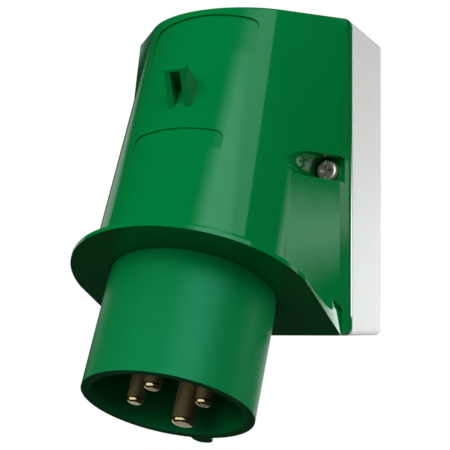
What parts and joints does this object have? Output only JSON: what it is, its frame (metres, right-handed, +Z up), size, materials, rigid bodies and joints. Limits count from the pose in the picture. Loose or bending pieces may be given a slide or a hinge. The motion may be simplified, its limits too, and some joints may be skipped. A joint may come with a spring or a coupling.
{
  "type": "wall-mounted pin and sleeve appliance inlet",
  "caption": "Surface-mounted pin and sleeve power inlet: round pins in a keyed sleeve, tilted down out of a glossy hood on a wall box.",
  "frame": {"origin": "centre of the wall box's rear face, which lies on the wall", "axes": "+Y into the wall, +Z up, +X to the right for someone who faces the wall; the plug points down and away from the wall"},
  "size_m": [0.0746, 0.1069, 0.1324],
  "materials": {
    "grey_plastic": "satin light grey moulding",
    "green_gloss": "glossy green moulding",
    "green_matt": "matt green moulding with a fine texture",
    "carrier_plastic": "matt black moulding",
    "retainer_plastic": "matt grey moulding",
    "seal_rubber": "matt black rubber",
    "grommet_rubber": "matt grey rubber",
    "pin_brass": "turned brass",
    "insert_brass": "turned brass",
    "screw_steel": "bright zinc-plated steel"
  },
  "bodies": {
    "root": {"wall_box": "grey_plastic", "hood": "green_gloss", "plug_sleeve": "green_matt", "sleeve_seal": "seal_rubber", "contact_carrier": "carrier_plastic", "pin_retainer": "retainer_plastic", "retainer_screws": "screw_steel", "insert_screws": "screw_steel", "cover_screws": "screw_steel", "cover_screw_washers": "seal_rubber", "cover_screw_inserts": "insert_brass", "box_gasket": "seal_rubber", "cable_grommet": "grommet_rubber", "line_pin_left": "pin_brass", "line_pin_front": "pin_brass", "line_pin_right": "pin_brass", "earth_pin": "pin_brass", "line_terminal_screws": "screw_steel", "earth_terminal_screw": "screw_steel", "line_pressure_plates": "insert_brass", "earth_pressure_plate": "insert_brass"}
  },
  "joints": []
}
